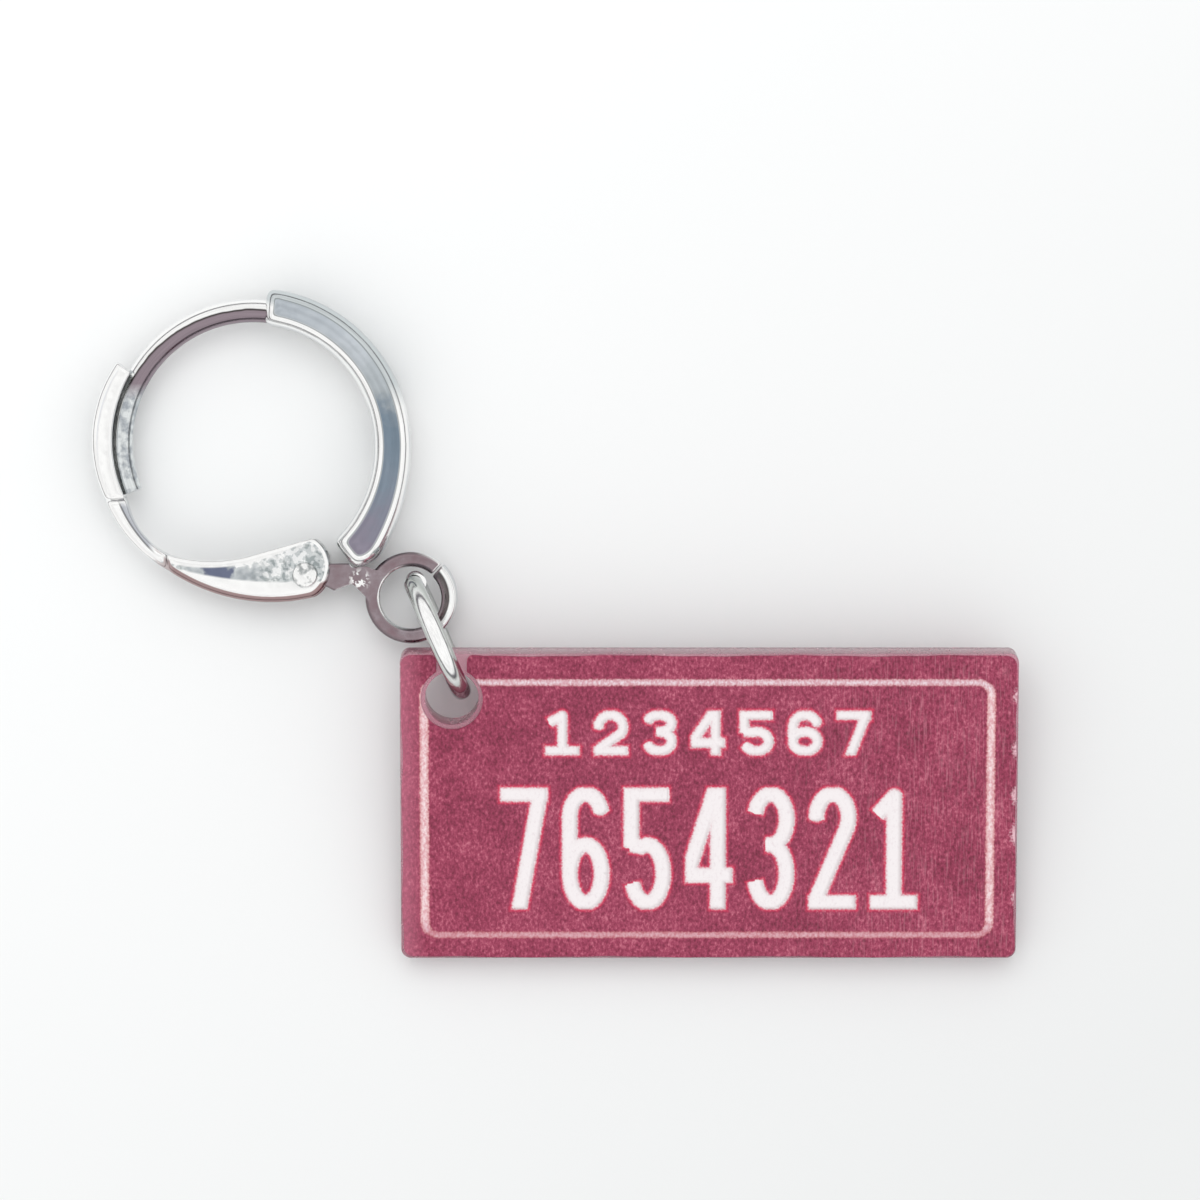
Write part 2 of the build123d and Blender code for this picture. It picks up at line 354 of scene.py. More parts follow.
wire_former = wire_forming()


def formed_wire(path, name, diameter, finish):
    """Round wire of this diameter, in millimetres, bent along a path."""
    forming = path.modifiers.new("forming", "NODES")
    forming.node_group = wire_former
    sizes = {"Width": diameter * MM, "Thickness": diameter * MM, "Corner": diameter / 2 * MM,
             "Corner Steps": WIRE_CORNER_STEPS, "Finish": finish}
    for item in wire_former.interface.items_tree:
        if item.in_out == "INPUT" and item.name in sizes:
            forming[item.identifier] = sizes[item.name]
    mesh = plain_mesh(path, name)
    return welded(mesh, mesh, outward=True)


def wire_tone(tree):
    """Painted reflections: bright outside, a dark line on its ridge and a darker inner side, mottled grey
    without the line in the trough.
    """
    _, height, reach = place_mm(tree)
    uneven = worked(tree, "ADD", reach, wandering(tree, 0.8, 2.0, -0.02, 0.02))
    in_trough = spread(tree, height, *WIRE_IN_TROUGH)
    inner = mixed(tree, in_trough, WIRE_INNER_REFLECTION, tone_ramp(tree, patches(tree, 0.35, 3.0), WIRE_TROUGH_REFLECTIONS))
    line = mixed(tree, in_trough, WIRE_DARK_REFLECTION, BRIGHT)
    edge = mixed(tree, spread(tree, uneven, *WIRE_INNER_REACH), inner, line)
    return mixed(tree, spread(tree, uneven, *WIRE_OUTER_REACH), edge, BRIGHT)


def tangent_arc(start, heading, end, steps):
    """Points of the one arc that leaves the start on this heading and reaches the end."""
    chord = end - start
    side = Vector((-heading.y, heading.x, 0))
    radius = chord.length_squared / (2 * chord.dot(side))
    center = start + side * radius
    first = start - center
    turn = first.xy.angle_signed((end - center).xy)
    return [center + Matrix.Rotation(-turn * step / steps, 3, "Z") @ first for step in range(steps + 1)]


wire_start = polar(*WIRE_START)
wire_heading = polar(1, WIRE_START[1] + 90)
wire_points = tangent_arc(wire_start, wire_heading, polar(*WIRE_TIP), WIRE_STEPS)
wire_points.insert(0, wire_start - wire_heading * WIRE_SINK)
wire_left = [0.0]
for nearer, further in zip(reversed(wire_points[:-1]), reversed(wire_points[1:])):
    wire_left.insert(0, wire_left[0] + (further - nearer).length)
wire_sizes = []
for left in wire_left:
    short = max(0.0, WIRE_TIP_ROUND - left)
    shrink = WIRE_TIP_ROUND - math.sqrt(WIRE_TIP_ROUND ** 2 - short ** 2)
    wire_sizes.append(1 - shrink / (WIRE_DIAMETER / 2))
wire_plating = plated_metal("wire_plating", wire_tone, 0.8, 0.006)
wire_path = bent_path("wire_path", wire_points, wire_sizes)
wire_mesh = formed_wire(wire_path, "wire_hoop", WIRE_DIAMETER, wire_plating)
wire_hoop = shown("wire_hoop", wire_mesh, wire_plating, "hoop")
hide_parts("ear_wire")

# Eye and tang: a strip bent round into an eye, its seam left open at the upper right.
# The neck and the hinge tang are one flat pressing with it, brazed to the arc's lower end.
EYE_CENTER = polar(9.05, -43.6)
EYE_MIDDLE = 1.5875
EYE_THICKNESS = 0.80
TANG_THICKNESS = 1.00
EYE_REACH = 2.2
NECK_EASE = 0.6
EYE_SEAM = 47.0
EYE_BLADE = (2.6, 0.075, 3)
EYE_ROLL = math.radians(13)
EYE_ROLL_SPAN = 90.0
TANG_CELL = 0.032
TANG_WEAR = 30
# Painted reflections on the eye: a dark rim, grey on its upright wall, a painted highlight on the side
# facing +X, and mauve flat sides with bands where the strip is rolled.
EYE_DARK_RIM_REFLECTION = (0.22, 0.175, 0.19, 1)
EYE_WALL = (0.74, 0.72, 0.73, 1)
EYE_RIM_STEEPNESS = (0.15, 0.45)
EYE_HIGHLIGHT_FACING = (0.05, 0.35)
BRAZE_SPOT = (4.42, -5.50, 0.40)
BRAZE_REACH = (0.52, 0.26)
EYE_ROLLED_SIDE = (0.999, 0.035, 0)
EYE_ROLLED_SHARE = (0.70, 0.74)
EYE_BAND = (1.2, 2.0)
EYE_ROLLED_REFLECTIONS = [
    (0.10, (0.24, 0.19, 0.20, 1)),
    (0.30, (0.36, 0.33, 0.33, 1)),
    (0.44, (0.20, 0.17, 0.17, 1)),
    (0.52, (0.14, 0.12, 0.12, 1)),
    (0.56, (0.96, 0.96, 0.95, 1)),
]
EYE_SIDE_REFLECTIONS = [
    (0.25, (0.24, 0.16, 0.18, 1)),
    (0.50, (0.29, 0.23, 0.25, 1)),
    (0.75, (0.40, 0.35, 0.38, 1)),
]


def span_mm(tree, share, low, high):
    """A distance in metres, spread over a range in millimetres."""
    return spread(tree, share, low * MM, high * MM)


def eye_tone(tree):
    """Painted reflections: dark mauve on the flat side, banded where the strip is rolled, a dark rim with a
    highlight on its +X side, and bright specks near the braze.
    """
    side = tone_ramp(tree, patches(tree, 0.8, 4.0, 0.6), EYE_SIDE_REFLECTIONS)
    from_eye = node(tree, "ShaderNodeVectorMath", {
        0: object_place(tree), 1: EYE_CENTER * MM}, operation="SUBTRACT").outputs["Vector"]
    out = measured(tree, "LENGTH", from_eye)
    heading = node(tree, "ShaderNodeVectorMath", {0: from_eye}, operation="NORMALIZE").outputs["Vector"]
    rolled = spread(tree, measured(tree, "DOT_PRODUCT", heading, EYE_ROLLED_SIDE), *EYE_ROLLED_SHARE)
    side = mixed(tree, rolled, side, tone_ramp(tree, span_mm(tree, out, *EYE_BAND), EYE_ROLLED_REFLECTIONS))
    dark_rim = mixed(tree, spread(tree, steepness(tree), *EYE_RIM_STEEPNESS), EYE_WALL, EYE_DARK_RIM_REFLECTION)
    rim = mixed(tree, spread(tree, facing(tree, "X"), *EYE_HIGHLIGHT_FACING), dark_rim, BRIGHT)
    from_braze = measured(tree, "DISTANCE", object_place(tree), Vector(BRAZE_SPOT) * MM)
    specks = worked(tree, "MULTIPLY", span_mm(tree, from_braze, *BRAZE_REACH),
                    spread(tree, patches(tree, 0.16, 2.0), 0.50, 0.54))
    return mixed(tree, flat_side(tree), rim, mixed(tree, specks, side, BRIGHT))


eye_plating = plated_metal("eye_plating", eye_tone, 0.7, 0.010)


def saw_blade(center, turn, reach, gap, height):
    """A thin upright plate, given in millimetres, that runs out from a centre on one heading."""
    work = bmesh.new()
    bmesh.ops.create_cube(work, size=1.0)
    bmesh.ops.scale(work, verts=work.verts, vec=(reach * MM, gap * MM, height * MM))
    bmesh.ops.translate(work, verts=work.verts, vec=(reach / 2 * MM, 0, 0))
    mesh = bpy.data.meshes.new("saw_blade")
    work.to_mesh(mesh)
    work.free()
    mesh.transform(Matrix.Translation(center * MM) @ Matrix.Rotation(math.radians(turn), 4, "Z"))
    return placed("saw_blade", mesh)


def sawn(shape, blade):
    """A solid with a blade's width cut out of it."""
    piece = placed("sawn", welded(shape, bpy.data.meshes.new("sawn")))
    cut = piece.modifiers.new("cut", "BOOLEAN")
    cut.operation = "DIFFERENCE"
    cut.solver = "EXACT"
    cut.object = blade
    mesh = plain_mesh(piece, "sawn")
    bpy.data.objects.remove(blade)
    return mesh


eye_open = sawn(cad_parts["eye_tang"].data, saw_blade(EYE_CENTER, EYE_SEAM, *EYE_BLADE))
eye_mesh = tumbled(eye_open, "eye_and_tang", TANG_CELL, TANG_WEAR)
for vertex in eye_mesh.vertices:
    place = vertex.co / MM - EYE_CENTER
    eased = min(1.0, max(0.0, (place.xy.length - EYE_REACH) / NECK_EASE))
    most = EYE_THICKNESS / 2 + (TANG_THICKNESS - EYE_THICKNESS) / 2 * eased
    if abs(place.z) > most:
        place.z = math.copysign(most, place.z)
        vertex.co.z = place.z * MM
    before_seam = EYE_SEAM - math.degrees(math.atan2(place.y, place.x))
    if 0 < before_seam < EYE_ROLL_SPAN and place.xy.length < EYE_REACH:
        roll = EYE_ROLL * (1 - before_seam / EYE_ROLL_SPAN)
        out = place.xy.length - EYE_MIDDLE
        turned = EYE_MIDDLE + out * math.cos(roll) - place.z * math.sin(roll)
        rise = out * math.sin(roll) + place.z * math.cos(roll)
        flat = place.xy.normalized() * turned
        vertex.co = (EYE_CENTER + Vector((flat.x, flat.y, rise))) * MM
eye_and_tang = shown("eye_and_tang", eye_mesh, eye_plating, "hoop")
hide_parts("eye_tang")

# Hinge rivet: a plated brass pin through the lever's cheeks and the tang.
# Each end is set into a low round head, left a little dented by the blows.
RIVET_CELL = 0.03
RIVET_WEAR = 5
# Painted reflections on the rivet heads, in grey and bright spots.
RIVET_REFLECTIONS = [(0.38, (0.40, 0.42, 0.42, 1)), (0.52, (0.95, 0.95, 0.94, 1))]


def rivet_tone(tree):
    """Painted reflections: small grey and bright spots across the head."""
    return tone_ramp(tree, patches(tree, 0.35, 3.0), RIVET_REFLECTIONS)


rivet_plating = plated_metal("rivet_plating", rivet_tone, 0.3, 0.012)
rivet_mesh = tumbled(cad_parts["hinge_rivet"].data, "rivet_pin", RIVET_CELL, RIVET_WEAR)
rivet_pin = shown("rivet_pin", rivet_mesh, rivet_plating, "hoop")
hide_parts("hinge_rivet")

# Lever: a channel pressed from thin sheet, necked to a rod between its trough and its cheeks.
# Its pressed cheeks are a little dented, and are painted with reflections of the room in small bright and
# dark spots.
LEVER_CELL = 0.045
LEVER_WEAR = 70
CHEEK_ALONG = (-4.3, -4.0)
# Painted reflections on the cheek: spots of the room and glints near its ends.
CHEEK_REFLECTION_SPOTS = [
    (0.36, (0.38, 0.41, 0.43, 1)),
    (0.48, (0.52, 0.55, 0.57, 1)),
    (0.585, (0.66, 0.69, 0.69, 1)),
    (0.62, (0.97, 0.97, 0.96, 1)),
]
CHEEK_GLINTS = [
    (0.38, (0.30, 0.34, 0.34, 1)),
    (0.44, (0.62, 0.65, 0.65, 1)),
    (0.53, (0.66, 0.69, 0.69, 1)),
    (0.57, (0.98, 0.98, 0.97, 1)),
]
SPARKS_RIGHT = (-0.1, 0.6)
SPARKS_LEFT = (-2.5, -2.9)
SPARKS_SHARE = 0.75
# Painted dark reflection: one spot on the cheek.
DARK_SPOT_REFLECTION = (0.16, 0.18, 0.26, 1)
DARK_SPOT_PLACE = (-1.40, -5.22, 0.9)
DARK_SPOT_REACH = (0.68, 0.50)
LIP_LOW = (-1.8, -4.70)
LIP_RISE = 0.067
LIP_WIDTH = (-0.34, -0.27)
BELLY_DEEP = (-0.6, 5.62)
BELLY_FALL = 0.06
BELLY_WIDTH = (-0.05, 0.03)
LONG_SIDE_SPAN = (5.6, 6.6)
# Painted reflections on the rod and the trough, and a painted brown reflection on the lower wall below the
# belly.
ROD_REFLECTIONS = [
    (0.00, (0.72, 0.74, 0.77, 1)),
    (0.34, (0.50, 0.52, 0.56, 1)),
    (0.39, (0.10, 0.10, 0.11, 1)),
    (0.44, (0.97, 0.97, 0.96, 1)),
]
TROUGH_REFLECTIONS = [(0.78, (0.97, 0.97, 0.96, 1)), (0.90, (0.76, 0.78, 0.82, 1))]
ROD_BELOW = (-2.1, -2.5)
ROD_LEFT_OF = (-3.9, -4.1)
BELOW_BROWN_REFLECTION = (0.36, 0.25, 0.25, 1)
BELOW_TILT = -0.08
BELOW_REACH = (6.10, 6.18)
BELOW_ALONG = (-4.4, -3.2)
BELOW_STEEPNESS = (0.1, 0.3)


def past_curve(tree, along, across, turning, bend):
    """How far across a point lies past a curved line, which turns at one place and bends this much."""
    off = worked(tree, "SUBTRACT", along, turning[0])
    line = worked(tree, "MULTIPLY_ADD", worked(tree, "MULTIPLY", off, off), bend, turning[1])
    return worked(tree, "SUBTRACT", across, line)


def cheek_tone(tree, along, height, reach):
    """Painted reflections: spots of the room on the cheek, glints near its ends, one dark spot, and a
    bright lip and belly.
    """
    spots = tone_ramp(tree, patches(tree, 0.5, 1.6, 0.55), CHEEK_REFLECTION_SPOTS)
    ends = worked(tree, "MAXIMUM", spread(tree, along, *SPARKS_RIGHT), spread(tree, along, *SPARKS_LEFT))
    glints = tone_ramp(tree, patches(tree, 0.24, 2.0, 0.5), CHEEK_GLINTS)
    spots = mixed(tree, worked(tree, "MULTIPLY", ends, SPARKS_SHARE), spots, glints)
    away = measured(tree, "DISTANCE", object_place(tree), Vector(DARK_SPOT_PLACE) * MM)
    uneven = worked(tree, "ADD", away, wandering(tree, 0.3, 2.0, -0.15 * MM, 0.15 * MM))
    spots = mixed(tree, span_mm(tree, uneven, *DARK_SPOT_REACH), spots, DARK_SPOT_REFLECTION)
    to_lip = past_curve(tree, along, height, LIP_LOW, LIP_RISE)
    to_belly = past_curve(tree, along, reach, BELLY_DEEP, BELLY_FALL)
    bright = worked(tree, "MAXIMUM", spread(tree, to_belly, *BELLY_WIDTH), spread(tree, to_lip, *LIP_WIDTH))
    return mixed(tree, bright, spots, BRIGHT)


def lever_tone(tree):
    """Painted reflections: the cheek's spots on the right, bands on the trough and the rod on the left, and
    brown on the wall below the belly.
    """
    along, height, reach = place_mm(tree)
    spots = cheek_tone(tree, along, height, reach)
    long_reach = spread(tree, reach, *LONG_SIDE_SPAN)
    on_rod = worked(tree, "MULTIPLY", spread(tree, height, *ROD_BELOW), spread(tree, along, *ROD_LEFT_OF))
    long_side = mixed(tree, on_rod, tone_ramp(tree, long_reach, TROUGH_REFLECTIONS),
                      tone_ramp(tree, long_reach, ROD_REFLECTIONS))
    outer = worked(tree, "MULTIPLY_ADD", along, BELOW_TILT, reach)
    under = worked(tree, "MULTIPLY", spread(tree, outer, *BELOW_REACH), spread(tree, along, *BELOW_ALONG))
    under = worked(tree, "MULTIPLY", under, spread(tree, steepness(tree), *BELOW_STEEPNESS))
    edge = mixed(tree, under, BRIGHT, BELOW_BROWN_REFLECTION)
    side = mixed(tree, spread(tree, along, *CHEEK_ALONG), long_side, spots)
    return mixed(tree, worked(tree, "MAXIMUM", flat_side(tree), on_rod), edge, side)


lever_plating = plated_metal("lever_plating", lever_tone, 0.55, 0.016)
lever_mesh = tumbled(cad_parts["lever"].data, "lever_channel", LEVER_CELL, LEVER_WEAR)
lever_channel = shown("lever_channel", lever_mesh, lever_plating, "lever")
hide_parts("lever")

# Snap leaf: a strip of rolled spring steel along the lever's web, left bare.
# Its end bears on the tang's nose and snaps the lever shut or open.
LEAF_CELL = 0.03
LEAF_WEAR = 3
LEAF_TONES = [(0.3, (0.34, 0.33, 0.33, 1)), (0.7, (0.55, 0.53, 0.51, 1))]
LEAF_ROUGH = (0.25, 0.42)


def leaf_tone(tree):
    """The uneven grey of bare rolled steel."""
    return tone_ramp(tree, patches(tree, 0.2, 4.0), LEAF_TONES)


leaf_steel = plated_metal("leaf_steel", leaf_tone, 0.15, 0.003, LEAF_ROUGH)
leaf_mesh = tumbled(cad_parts["snap_leaf"].data, "leaf_strip", LEAF_CELL, LEAF_WEAR)
leaf_strip = shown("leaf_strip", leaf_mesh, leaf_steel, "lever")
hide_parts("snap_leaf")

# Jump ring: plated round wire, wound on a mandrel and sawn, so its two ends meet in a slit.
# The ends were closed with pliers and stand a little out of line.
RING_CENTER = Vector((7.69241, -7.79894, 1.45006))
RING_HEADING = -66.7
RING_RADIUS = 2.845
RING_WIRE = 0.80
RING_SLIT_PLACE = 160.0
RING_SLIT = 2.0
RING_OFFSET = 0.07
RING_STEPS = 180
RING_FACING = (-0.2, 1.0)
# Painted reflections on the ring: bright on top and grey down its sides.
RING_REFLECTIONS = [
    (0.20, (0.72, 0.73, 0.72, 1)),
    (0.55, (0.46, 0.48, 0.46, 1)),
    (0.72, (0.64, 0.66, 0.64, 1)),
    (0.80, (0.97, 0.97, 0.96, 1)),
]


def ring_tone(tree):
    """Painted reflections: bright on top, as if the wire mirrored the window, and grey down its sides."""
    uneven = worked(tree, "ADD", facing(tree, "Z"), wandering(tree, 0.5, 2.0, -0.05, 0.05))
    return tone_ramp(tree, spread(tree, uneven, *RING_FACING), RING_REFLECTIONS)


ring_plating = plated_metal("ring_plating", ring_tone, 0.9, 0.006)
ring_across = polar(1, RING_HEADING)
ring_axis = ring_across.cross(Vector((0, 0, 1)))
ring_points = []
for step in range(RING_STEPS + 1):
    share = step / RING_STEPS
    turn = math.radians(RING_SLIT_PLACE + RING_SLIT / 2 + (360 - RING_SLIT) * share)
    flat = ring_across * math.cos(turn) + Vector((0, 0, math.sin(turn)))
    drift = ring_axis * RING_OFFSET * (2 * share - 1) ** 5
    ring_points.append(RING_CENTER + flat * (RING_RADIUS - RING_WIRE / 2) + drift)
ring_path = bent_path("ring_path", ring_points)
ring_path.data.twist_mode = "MINIMUM"
ring_mesh = formed_wire(ring_path, "ring_wire", RING_WIRE, ring_plating)
ring_wire = shown("ring_wire", ring_mesh, ring_plating, "ring")
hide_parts("jump_ring")

# Charm plate: clear acrylic, laser cut, with polished edges and a drilled hole for the ring.
# The print lies on its face, and the clear acrylic is tinted pink to paint the print-coloured light in its
# edges and its hole.
PLATE_FOOT = Vector((6.1448, -20.8847, -1.4))
PLATE_TILT = math.radians(10.1083)
PLATE_LENGTH = 25.40
PLATE_HEIGHT = 12.80
PLATE_THICKNESS = 1.50
PLATE_CORNER = 0.40
PLATE_EDGE = 0.06
HOLE_RADIUS = 1.10
HOLE_PLACE = (2.13, 10.94)
HOLE_STEP = 5
# Painted light: the pink that stands in for print-coloured light inside the clear acrylic.
PLATE_PRINT_LIGHT_TINTS = [(0.3, (0.82, 0.37, 0.48, 1)), (0.7, (0.90, 0.53, 0.62, 1))]
ACRYLIC_IOR = 1.49
CUT_GRAIN = (9000, 9000, 300)


def lay_on_plate(height):
    """The frame of the plate: its lower left corner, its long side, its upward side and its face."""
    turn = Matrix.Rotation(PLATE_TILT, 4, "X")
    corner = Matrix.Translation(PLATE_FOOT * MM)
    return corner @ turn @ Matrix.Translation((0, 0, height * MM))


def corner_points(low, high, radius, steps=10):
    """A rectangle with round corners, from its lower left corner's end, turning left."""
    centers = [(high[0] - radius, low[1] + radius, -90), (high[0] - radius, high[1] - radius, 0),
               (low[0] + radius, high[1] - radius, 90), (low[0] + radius, low[1] + radius, 180)]
    return [(x + radius * math.cos(math.radians(start + 90 * step / steps)),
             y + radius * math.sin(math.radians(start + 90 * step / steps)))
            for x, y, start in centers for step in range(steps + 1)]


def cut_sheet(name, loops, thickness, edge):
    """A sheet cut along closed loops, the first its outline and the rest its holes."""
    curve = bpy.data.curves.new(name, "CURVE")
    curve.dimensions = "2D"
    curve.fill_mode = "BOTH"
    curve.extrude = (thickness / 2 - edge) * MM
    curve.bevel_depth = edge * MM
    curve.bevel_resolution = 2
    curve.offset = -edge * MM
    for loop in loops:
        spline = curve.splines.new("POLY")
        spline.use_cyclic_u = True
        spline.points.add(len(loop) - 1)
        for point, (x, y) in zip(spline.points, loop):
            point.co = (x * MM, y * MM, 0, 1)
    mesh = plain_mesh(placed(name, curve), name)
    return welded(mesh, mesh, outward=True)


def drawn_grain(tree, fineness, detail, rough=0.5):
    """Noise that is finer along some axes than along others, as a share from 0 to 1."""
    stretched = node(tree, "ShaderNodeMapping", {
        "Vector": object_place(tree), "Scale": fineness}).outputs["Vector"]
    return node(tree, "ShaderNodeTexNoise", {
        "Vector": stretched, "Scale": 1.0, "Detail": detail, "Roughness": rough}).outputs["Fac"]


def clear_acrylic():
    """Clear acrylic tinted pink to paint the print-coloured light in it, with the laser's fine upright
    lines.
    """
    material, tree, surface = new_material("clear_acrylic")
    wired(tree, surface, {
        "IOR": ACRYLIC_IOR,
        "Transmission Weight": 0.7,
        "Base Color": tone_ramp(tree, patches(tree, 2.0, 3.0), PLATE_PRINT_LIGHT_TINTS),
        "Roughness": wandering(tree, 0.3, 3.0, 0.12, 0.3),
        "Normal": bumped(tree, drawn_grain(tree, CUT_GRAIN, 2.0), 0.5, 0.0025),
    })
    return material


hole_turns = [math.radians(-turn) for turn in range(0, 360, HOLE_STEP)]
hole_loop = [(HOLE_PLACE[0] + HOLE_RADIUS * math.cos(turn), HOLE_PLACE[1] + HOLE_RADIUS * math.sin(turn))
             for turn in hole_turns]
plate_loop = corner_points((0, 0), (PLATE_LENGTH, PLATE_HEIGHT), PLATE_CORNER)
plate_mesh = cut_sheet("acrylic_plate", [plate_loop, hole_loop], PLATE_THICKNESS, PLATE_EDGE)
plate_mesh.transform(lay_on_plate(PLATE_THICKNESS / 2))
acrylic_plate = shown("acrylic_plate", plate_mesh, clear_acrylic(), "charm")
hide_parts("charm_plate")

# Charm film: ink under a satin clear coat, printed burgundy with plain numbers and a line border.
# The print stops short of the hole in a keyhole shape.
FILM_THICKNESS = 0.10
FILM_EDGE = 0.05
FILM_TOP_EDGE = 0.04
FILM_CORNER = 0.40
KEYHOLE_RADIUS = 1.28
SLOT_WIDTH = 1.26
SLOT_SHOULDER = 0.26
SLOT_MARGIN = 0.01
FILM_STEP = 0.085
FRAY_STEP = 0.3
FRAY_DEPTH = 0.07
FRAY_SIDE = 1
FAR = 9.0
ROW_MARGIN = 0.5
BORDER_LOW = (0.99, 1.01)
BORDER_HIGH = (24.28, 11.62)
BORDER_CORNER = 0.55
BORDER_WIDTHS = {"left": 0.30, "right": 0.28, "top": 0.21, "bottom": 0.19}
SMALL_ROW = {"figures": "1234567", "low": (5.95, 8.57), "size": (1.44, 1.88),
             "pitch": 1.995, "stroke": 0.43}
LARGE_ROW = {"figures": "7654321", "low": (4.10, 2.09), "size": (1.98, 5.14),
             "pitch": 2.54, "stroke": 0.66}
# Painted shade: a copy of the figures moved by this much greys the numbers along one side.
NUMBER_SHADE_OFFSET = (0.09, -0.04)
SHADE_RANGE = (-0.10, 0.06)
SHADE_SHARE = 0.55
SHADE_TONE = (0.42, 0.37, 0.38, 1)
NUMBER_GRAIN_TONE = (0.62, 0.50, 0.54, 1)
NUMBER_RANGE = (-0.20, 0.10)
NUMBER_FRINGE = (0.16, 0.05)
BORDER_RANGE = (-0.10, 0.07)
BORDER_FRINGE = (0.08, 0.01)
BORDER_DARK = (0.76, 0.39, 0.42, 1)
BORDER_PALE = (0.94, 0.74, 0.74, 1)
EDGE_CHIPS = [(25.36, 11.05, 0.15), (25.38, 8.85, 0.19), (25.36, 6.90, 0.20),
              (25.38, 5.25, 0.24), (25.37, 2.60, 0.15)]
CHIP_STRETCH = 1.7
CHIP_RANGE = (0.06, -0.10)
CHIP_TONE = (0.76, 0.48, 0.54, 1)
PRINT_GRAIN = (9000, 5600, 9000)
PRINT_STREAK = (16000, 900, 900)
STREAK_ALONG = (14.0, 21.0)
STREAK_TONE = (0.60, 0.25, 0.31, 1)
MARGIN_ALONG = (1.0, 0.2)
MARGIN_TONE = (0.62, 0.22, 0.31, 1)
GROUND_TONES = [
    (0.12, (0.15, 0.010, 0.034, 1)),
    (0.45, (0.28, 0.028, 0.076, 1)),
    (0.66, (0.38, 0.055, 0.115, 1)),
    (0.90, (0.56, 0.150, 0.220, 1)),
]
NUMBER_TONES = [
    (0.00, (0.87, 0.82, 0.83, 1)),
    (0.40, (0.84, 0.78, 0.79, 1)),
    (0.56, (0.76, 0.58, 0.61, 1)),
    (0.68, (0.66, 0.22, 0.28, 1)),
    (0.82, (0.62, 0.035, 0.095, 1)),
    (1.00, (0.46, 0.020, 0.075, 1)),
]
BORDER_TONES = [
    (0.00, (1.00, 1.00, 1.00, 1)),
    (0.55, (0.88, 0.70, 0.70, 1)),
    (1.00, (0.60, 0.18, 0.22, 1)),
]
BORDER_HEIGHT_TONES = [
    (0.09, (0.76, 0.60, 0.68, 1)),
    (0.14, (0.94, 0.95, 0.97, 1)),
    (0.86, (0.94, 0.95, 0.97, 1)),
    (0.90, (0.86, 0.92, 1.00, 1)),
]


def bow(x, y, across, up, start, end, steps=14):
    """Part of an ellipse, from one angle to another."""
    turns = [math.radians(start + (end - start) * step / steps) for step in range(steps + 1)]
    return [(x + across * math.cos(turn), y + up * math.sin(turn)) for turn in turns]


def figure_lines(figure, w, h, half):
    """The middle lines of a plain figure's strokes, inside a box of this width and height."""
    left, right, low, high = half, w - half, half * 0.85, h - half * 0.85
    middle, across = w / 2, w / 2 - half
    up = max(across, h * 0.19)
    waist = h * 0.53
    upper, lower = (high - waist) / 2, (waist - low) / 2
    return {
        "1": [[(left * 0.9, high - h * 0.17), (middle, high - h * 0.02), (middle, -h)],
              [(0, low), (w, low)]],
        "2": [bow(middle, high - up, across, up, 185, 0),
              bow(middle, high - up, across, up, 2, -32) + [(left, low + half * 0.4)],
              [(0, low), (w, low)]],
        "3": [bow(middle, high - upper, across, upper, 165, -78),
              [(middle * 0.8, waist), (middle * 1.1, waist)],
              bow(middle, low + lower, across, lower, 78, -165)],
        "4": [[(right - half * 0.9, 2 * h), (right - half * 0.9, -h)],
              [(right - half * 1.2, h), (left * 0.4, h * 0.30)],
              [(0, h * 0.28), (w, h * 0.28)]],
        "5": [[(0, high), (w * 0.95, high)],
              [(left, h), (left, waist - half * 0.3)],
              [(left, waist)] + bow(middle, low + lower, across, lower, 112, -160)],
        "6": [bow(middle, high - up, across, up, 12, 180) + [(left, low + lower)],
              bow(middle, low + lower, across, lower, 0, 360, 28)],
        "7": [[(0, high), (w, high)],
              [(right, high), (w * 0.36, -h * 0.08)]],
    }[figure]


def distance_to_line(spots, line, half):
    """How far each spot lies outside one stroke, whose two ends are cut off square."""
    nearest = np.full(len(spots), FAR)
    for step, (start, end) in enumerate(zip(line[:-1], line[1:])):
        along = end - start
        length = max(np.linalg.norm(along), 1e-9)
        run = (spots - start) @ along / length
        share = np.clip(run, 0, length)
        away = np.linalg.norm(spots - start - share[:, None] * along / length, axis=1) - half
        if step == 0:
            away = np.where(run < 0, np.maximum(away, -run), away)
        if step == len(line) - 2:
            away = np.where(run > length, np.maximum(away, run - length), away)
        nearest = np.minimum(nearest, away)
    return nearest


def distance_to_row(points, row):
    """How far each point lies outside the strokes of a row of figures, in millimetres."""
    half, (w, h) = row["stroke"] / 2, row["size"]
    box = np.array((w, h)) / 2
    nearest = np.full(len(points), FAR)
    for number, figure in enumerate(row["figures"]):
        spots = points - np.array(row["low"]) - np.array((number * row["pitch"], 0))
        close = np.flatnonzero((np.abs(spots - box) < box + ROW_MARGIN).all(axis=1))
        spots = spots[close]
        strokes = np.full(len(spots), FAR)
        for line in figure_lines(figure, w, h, half):
            strokes = np.minimum(strokes, distance_to_line(spots, np.array(line), half))
        outside = (np.abs(spots - box) - box).max(axis=1)
        nearest[close] = np.minimum(nearest[close], np.maximum(strokes, outside))
    return nearest


def distance_to_rows(points):
    """How far each point lies outside both rows of figures, in millimetres."""
    return np.minimum(distance_to_row(points, SMALL_ROW), distance_to_row(points, LARGE_ROW))


